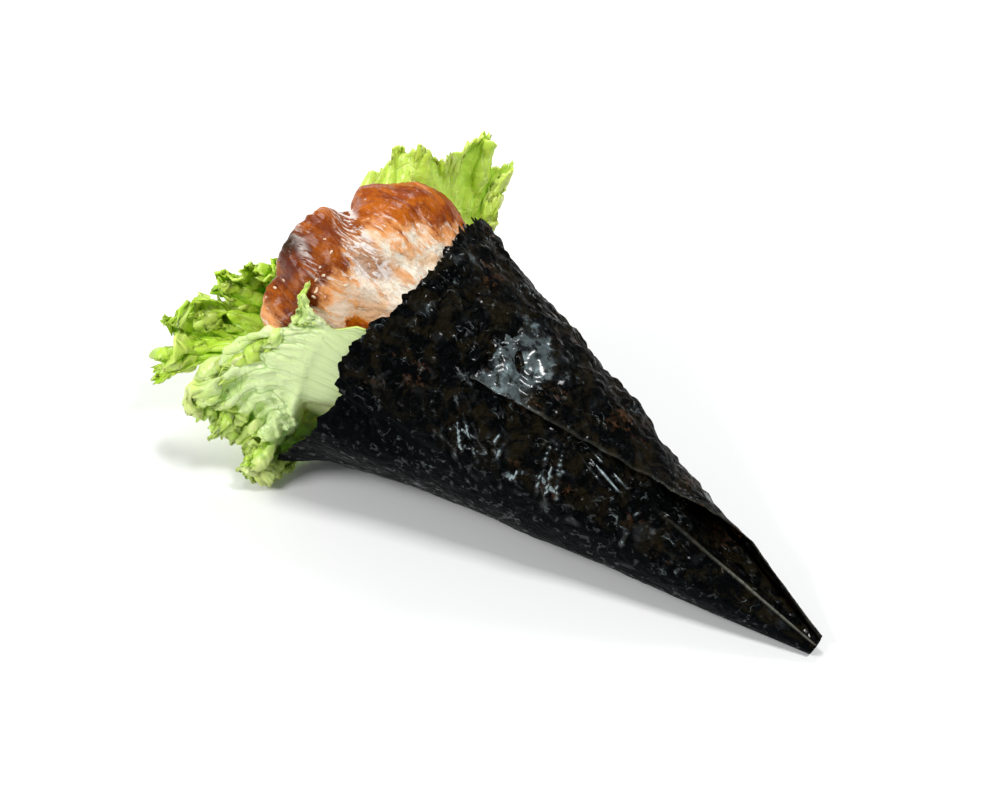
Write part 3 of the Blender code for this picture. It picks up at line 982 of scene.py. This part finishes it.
def nori_material():
    """Black with olive and copper mottling, crinkled, and glossy on its creases. Painted blue-grey
    reflection flecks, and painted highlights on the bright patch, the wrinkle ridges and the crease
    near the tip.
    """
    material, nodes, shader = new_material("nori")
    place = nodes.place()
    brown, gloss_and_painted_highlight, wear_and_painted_crease_highlight = (nodes.value_of(key) for key in ("brown", "gloss_and_painted_highlight", "wear_and_painted_crease_highlight"))
    wide = nodes.noise(place, 95, 3, 0.6, 0.5)
    patches = nodes.noise(place, 260, 4, 0.65, 0.6)
    flecks = nodes.noise(place, 620, 3, 0.6, 0.3)
    crinkle = nodes.noise(place, 330, 1.5, 0.5, 0.4)
    fine = nodes.noise(nodes.place((1, 1.8, 1.5), (0.2, 0.3, 0.6)), 1200, 1, 0.5)
    scales = nodes.add("ShaderNodeTexVoronoi", {
        "Scale": 560, "Vector": nodes.shaken(place, 300, 1, (0.004, 0.004, 0.004))})
    olive = nodes.mix(nodes.range(patches, 0.46, 0.62, 0, 0.85), (2, 2, 2), (27, 22, 10))
    copper = nodes.times(nodes.range(wide, 0.56, 0.66), nodes.range(flecks, 0.5, 0.6, 0, 0.8))
    olive = nodes.mix(copper, olive, (78, 50, 30))
    base = nodes.mix(brown, (3, 4, 5), olive)
    # Painted reflection: blue-grey flecks lighten the base where a sheen would catch the light.
    grey = nodes.times(nodes.range(flecks, 0.55, 0.68, 0, 0.7),
                      nodes.range(nodes.noise(place, 170, 3, 0.6), 0.42, 0.6))
    base = nodes.mix(grey, base, (28, 31, 31))
    fibre = nodes.noise(nodes.place((1, 1.9, 1.5), (0.3, 0.5, 0.9)), 300, 1.5, 0.5, 0.2)
    thread = nodes.range(nodes.math("ABSOLUTE", nodes.math("SUBTRACT", fibre, 0.5)), 0.020, 0.004)
    thread = nodes.times(thread, nodes.range(nodes.noise(place, 170, 2), 0.50, 0.64))
    thread = nodes.times(thread, nodes.range(flecks, 0.47, 0.58, 0, 0.9))
    thread = nodes.times(thread, nodes.times(brown, 0.5, 0.5))
    base = nodes.mix(thread, base, (104, 112, 111))
    # Painted highlight: pale crinkled spots wherever the sheet is glossy, on the bright patch and
    # the wrinkle ridges.
    sheen = nodes.times(nodes.math("MINIMUM", gloss_and_painted_highlight, 1.0), nodes.range(flecks, 0.4, 0.6))
    crumpled = nodes.mix(nodes.range(crinkle, 0.50, 0.64), (32, 37, 39), (140, 148, 148))
    base = nodes.mix(nodes.times(sheen, 0.75), base, crumpled)
    # Painted highlight: near-white streaks on the wrinkle ridges, where the values pass 1.
    base = nodes.mix(nodes.times(nodes.range(gloss_and_painted_highlight, 0.8, 1.5), nodes.range(flecks, 0.36, 0.50)),
                     base, (176, 180, 176))
    # Pale wear at the torn edge, and a painted highlight along the crease near the tip.
    base = nodes.mix(wear_and_painted_crease_highlight, base, (108, 108, 98))
    spots = nodes.times(nodes.range(flecks, 0.58, 0.64), 0.5)
    height = nodes.times(fine, 0.22, crinkle)
    height = nodes.times(scales.outputs["Distance"], 0.55, height)
    height = nodes.times(height, nodes.times(brown, 0.62, 0.38))
    nodes.fill(shader, {
        "Base Color": base,
        "Roughness": nodes.range(nodes.noise(place, 210, 3, 0.6), 0.35, 0.68, 0.4, 0.6),
        "Coat Weight": nodes.math("MAXIMUM", nodes.math("MINIMUM", gloss_and_painted_highlight, 1.0), spots),
        "Normal": nodes.bump(height, 1.0, 1.3 * MM),
        "Specular IOR Level": 0.03, "Specular Tint": TINT_OF_SHEEN,
        "Coat Roughness": 0.18, "Coat Tint": TINT_OF_COAT})
    return material


def eel_material():
    """Pale streaked flesh, and over most of it a glossy brown glaze, darker in the valley, with
    painted whitish reflections in the valley and painted glints along the glaze's edge.
    """
    material, nodes, shader = new_material("glazed_eel")
    place = nodes.place()
    glaze, wet, skin, pink, dark = (nodes.value_of(key)
                                    for key in ("glaze", "wet", "skin", "pink", "dark"))
    lengthwise = nodes.place((0.22, 1.5, 1.2), (0, -TILT, 0))
    fibres = nodes.noise(lengthwise, 520, 3, 0.6, 0.5)
    streaks = nodes.noise(lengthwise, 230, 3, 0.6, 0.5)
    cloud = nodes.noise(place, 190, 4, 0.6, 0.3)
    fine = nodes.noise(place, 900, 2, 0.6)
    flesh = nodes.mix(nodes.range(cloud, 0.42, 0.62), (238, 228, 208), (232, 192, 150))
    flesh = nodes.mix(nodes.range(streaks, 0.52, 0.64, 0, 0.75), flesh, (220, 158, 100))
    flesh = nodes.mix(nodes.range(fibres, 0.55, 0.68, 0, 0.6), flesh, (200, 160, 132))
    flesh = nodes.mix(pink, flesh, (212, 156, 112))
    sauce = nodes.mix(nodes.range(cloud, 0.38, 0.60), (150, 66, 2), (184, 96, 8))
    sauce = nodes.mix(nodes.range(streaks, 0.48, 0.64, 0, 0.75), sauce, (118, 46, 4))
    sauce = nodes.mix(nodes.times(dark, nodes.range(cloud, 0.30, 0.66, 0.95, 0.35)), sauce,
                      (94, 32, 2))
    sauce = nodes.mix(nodes.times(wet, 0.5), sauce, (84, 26, 3))
    cover = nodes.times(fine, 0.4, nodes.times(streaks, 1.7, -1.05))
    cover = nodes.math("ADD", glaze, cover)
    base = nodes.mix(nodes.range(cover, 0.05, 0.45), flesh, (226, 156, 94))
    base = nodes.mix(nodes.range(cover, 0.34, 0.84), base, sauce)
    glints = nodes.noise(lengthwise, 420, 3, 0.65, 1.2)
    base = nodes.mix(nodes.range(wet, 0.10, 0.7, 0, 0.65), base, (134, 66, 18))
    # Painted reflection: whitish streaks of glare on the glaze in the valley.
    painted_film_glare = nodes.times(nodes.range(wet, 0.08, 0.5), nodes.range(glints, 0.49, 0.56, 0, 0.95))
    base = nodes.mix(painted_film_glare, base, (226, 214, 206))
    # Painted highlight: beaded whitish glints along the edge of the glaze.
    edge = nodes.range(nodes.math("ABSOLUTE", nodes.math("SUBTRACT", cover, 0.5)), 0.40, 0.05)
    painted_edge_glints = nodes.noise(lengthwise, 640, 2, 0.6, 0.6)
    base = nodes.mix(nodes.times(edge, nodes.range(painted_edge_glints, 0.57, 0.62, 0, 0.8)), base,
                     (232, 214, 198))
    base = nodes.mix(skin, base, (52, 34, 18))
    beads = nodes.times(nodes.noise(place, 800, 2, 0.55), nodes.times(wet, 0.9, 0.3))
    height = nodes.times(fibres, 0.7, beads)
    height = nodes.times(streaks, 0.8, height)
    nodes.fill(shader, {
        "Base Color": base,
        "Roughness": nodes.range(nodes.noise(place, 500, 2, 0.6), 0.4, 0.62, 0.2, 0.42),
        "Coat Weight": nodes.times(glaze, 0.12, 0.05), "Coat Roughness": 0.16,
        "Normal": nodes.bump(height, 1.0, 0.8 * MM), "Specular IOR Level": 0.14,
        "Subsurface Weight": 0.04, "Subsurface Radius": (1.0, 0.5, 0.3),
        "Subsurface Scale": 1.2 * MM})
    return material


# Pale specks that stand in as painted glints on the glaze.
def glint_speck_material():
    material, nodes, shader = new_material("painted_glint_specks")
    cloud = nodes.noise(nodes.place(), 1500, 2)
    nodes.fill(shader, {
        "Base Color": nodes.mix(nodes.range(cloud, 0.4, 0.6), (236, 214, 186), (214, 176, 138)),
        "Roughness": nodes.range(cloud, 0.4, 0.6, 0.25, 0.4)})
    return material


def veins(nodes, uv, scale, width):
    """A net of lines on the leaf's own map, drawn out along the leaf."""
    wobble = nodes.shaken(nodes.mapped(uv, Scale=(*scale, 1)), 0.7, 2, (1.6, 1.2, 0))
    cells = nodes.add("ShaderNodeTexVoronoi", {"Scale": 1, "Vector": wobble},
                      feature="DISTANCE_TO_EDGE", voronoi_dimensions="2D")
    return nodes.range(cells.outputs["Distance"], 0.0, width, 1.0, 0.0)


def lettuce_look():
    """Pale at the root and deeper at the margin, with painted light on crests, painted shade in
    hollows, and a net of veins.
    """
    group = bpy.data.node_groups.new("lettuce_look", "ShaderNodeTree")
    add_sockets(group, "INPUT", {"Pale": "Color", "Deep": "Color", "Vein": "Color", "Painted Crest Light": "Color",
                                 "Vein Strength": "Float", "Start": "Float", "Painted Hollow Shade": "Float"})
    add_sockets(group, "OUTPUT", {"Colour": "Color", "Roughness": "Float", "Height": "Float"})
    nodes = Nodes(group)
    given = nodes.add("NodeGroupInput").outputs
    uv = nodes.add("ShaderNodeUVMap", uv_map="UVMap").outputs["UV"]
    outward = nodes.add("ShaderNodeSeparateXYZ", {"Vector": uv}).outputs["Y"]
    main_veins = veins(nodes, uv, (11, 2.4), 0.03)
    fine_veins = veins(nodes, uv, (44, 14), 0.10)
    cloud = nodes.noise(nodes.place(), 150, 3, 0.6, 0.4)
    shade = nodes.math("ADD", outward, nodes.times(cloud, 0.7, -0.35))
    start = given["Start"]
    shade = nodes.range(shade, start, nodes.math("ADD", start, 0.5))
    base = nodes.mix(shade, given["Pale"], given["Deep"])
    # Painted light on crests and painted shade in hollows, from how far the ruffles lift the leaf
    # toward its visible side.
    crest = nodes.value_of("crest")
    base = nodes.mix(nodes.range(crest, 0.58, 0.95, 0, 0.75), base, given["Painted Crest Light"])
    painted_hollow_shade = nodes.times(nodes.range(crest, 0.46, 0.10), given["Painted Hollow Shade"])
    base = nodes.mix(painted_hollow_shade, base,
                     nodes.mix(1.0, given["Deep"], (206, 220, 120), "MULTIPLY"))
    lines = nodes.math("MAXIMUM", main_veins, nodes.times(fine_veins, 0.22))
    lines = nodes.times(lines, given["Vein Strength"])
    lines = nodes.times(lines, nodes.range(outward, 0.22, 0.55, 0.25, 1))
    lines = nodes.times(lines, nodes.range(cloud, 0.36, 0.54, 0.35, 1))
    base = nodes.mix(lines, base, given["Vein"])
    # Painted light: the tucked wedge under the front leaf's fold is lightened to pale green,
    # against the shade there.
    base = nodes.mix(nodes.value_of("olive"), base, (232, 244, 176))
    height = nodes.times(nodes.noise(nodes.place(), 1000, 2, 0.6), 0.4,
                         nodes.times(main_veins, -0.5))
    nodes.add("NodeGroupOutput", {
        "Colour": base, "Roughness": nodes.range(cloud, 0.35, 0.65, 0.26, 0.45),
        "Height": nodes.times(fine_veins, -0.25, height)})
    return group


def lettuce_material(group, name, pale, deep, vein, painted_crest_light, strength, start, hollows):
    material, nodes, shader = new_material(name)
    look = nodes.add("ShaderNodeGroup", node_tree=group)
    # The crest colour and the hollows' share set the painted light on crests and the painted shade
    # in hollows.
    nodes.fill(look, {"Pale": colour(*pale), "Deep": colour(*deep), "Vein": colour(*vein),
                      "Painted Crest Light": colour(*painted_crest_light), "Vein Strength": strength, "Start": start,
                      "Painted Hollow Shade": hollows})
    nodes.fill(shader, {
        "Base Color": look.outputs["Colour"], "Roughness": look.outputs["Roughness"],
        "Normal": nodes.bump(look.outputs["Height"], 0.6, 0.4 * MM),
        "Coat Weight": 0.2, "Coat Roughness": 0.2, "Subsurface Weight": 0.3,
        "Subsurface Radius": (0.7, 1.0, 0.25), "Subsurface Scale": 1.2 * MM})
    return material


# ---- studio

CAMERA_PLACE = Vector((0.2348, -0.3171, 0.4167))
CAMERA_TARGET = Vector((-0.0043, -0.0055, 0.0238))
CAMERA_LENS, CAMERA_SENSOR = 100, 36        # mm
CAMERA_NEAR = 0.01
LIGHT_TARGET = Vector((0, 0, 0.02))
LIGHTS = (("top_light", (0.30, 0.10, 0.75), 0.18, 3.4),      # name, place, side and power
          ("back_light", (-0.40, 0.35, 0.60), 0.25, 3.0),
          ("front_light", (-0.35, -0.50, 0.50), 0.26, 3.4))
FLOOR_REACH = 3
FLOOR_SHADE = 0.93
WORLD_COLOUR = (0.95, 0.98, 1, 1)
WORLD_STRENGTH = 0.25


def aim(item, place, target):
    item.location = place
    item.rotation_euler = (target - Vector(place)).to_track_quat("-Z", "Y").to_euler()


def camera():
    data = bpy.data.cameras.new("camera")
    data.lens, data.sensor_width, data.clip_start = CAMERA_LENS, CAMERA_SENSOR, CAMERA_NEAR
    item = placed("camera", data)
    aim(item, CAMERA_PLACE, CAMERA_TARGET)
    bpy.context.scene.camera = item


def softbox(name, place, side, power):
    data = bpy.data.lights.new(name, "AREA")
    data.shape = "RECTANGLE"
    data.size = data.size_y = side
    data.energy = power
    aim(placed(name, data), place, LIGHT_TARGET)


def studio():
    camera()
    mesh = bpy.data.meshes.new("floor")
    corners = ((-1, -1), (1, -1), (1, 1), (-1, 1))
    mesh.from_pydata([(x * FLOOR_REACH, y * FLOOR_REACH, 0) for x, y in corners], [],
                     [(0, 1, 2, 3)])
    material, nodes, shader = new_material("floor")
    nodes.fill(shader, {"Base Color": (FLOOR_SHADE, FLOOR_SHADE, FLOOR_SHADE, 1),
                        "Roughness": 0.9})
    mesh.materials.append(material)
    placed("floor", mesh)
    world = bpy.data.worlds.new("studio")
    world.use_nodes = True
    Nodes(world.node_tree).fill(world.node_tree.nodes["Background"],
                                {"Color": WORLD_COLOUR, "Strength": WORLD_STRENGTH})
    bpy.context.scene.world = world
    for light in LIGHTS:
        softbox(*light)
    bpy.context.scene.view_settings.view_transform = "Standard"


# ---- roll

# Each leaf: its name, node, ribs, look and fold, and its two faces' materials, each with its pale,
# deep and vein colours, its painted crest light, how strong its veins are, where it deepens and how
# dark its painted hollow shade is
LEAVES = (
    ("front_leaf", "lettuce_front", FRONT_RIBS, FRONT_LOOK, front_fold,
     ("front_lettuce_under", (206, 234, 118), (194, 228, 86), (136, 172, 60), (222, 242, 138),
      0.4, 0.5, 0.0),
     ("front_lettuce", (215, 236, 168), (198, 230, 96), (122, 160, 46), (226, 246, 146),
      0.6, 0.55, 0.2)),
    ("left_leaf", "lettuce_left", LEFT_RIBS, LEFT_LOOK, None,
     ("left_lettuce", (214, 242, 100), (192, 230, 62), (226, 244, 150), (222, 244, 122),
      0.5, 0.35, 0.6),
     ("left_lettuce_under", (204, 234, 100), (186, 224, 66), (214, 236, 134), (214, 238, 120),
      0.4, 0.35, 0.1)),
    ("right_leaf", "lettuce_right", RIGHT_RIBS, RIGHT_LOOK, None,
     ("right_lettuce", (222, 244, 126), (206, 236, 92), (230, 246, 170), (224, 244, 136),
      0.4, 0.4, 0.1),
     ("right_lettuce_under", (234, 250, 150), (222, 246, 112), (238, 250, 184), (232, 248, 150),
      0.6, 0.4, 0.3)))


def main():
    nori_sheet()
    painted_glint_specks(eel_piece())
    group = lettuce_look()
    for name, node, ribs, look, fold, *faces in LEAVES:
        materials = [lettuce_material(group, *face) for face in faces]
        lettuce_leaf(name, ribs, look, node, materials, fold)
    studio()


main()
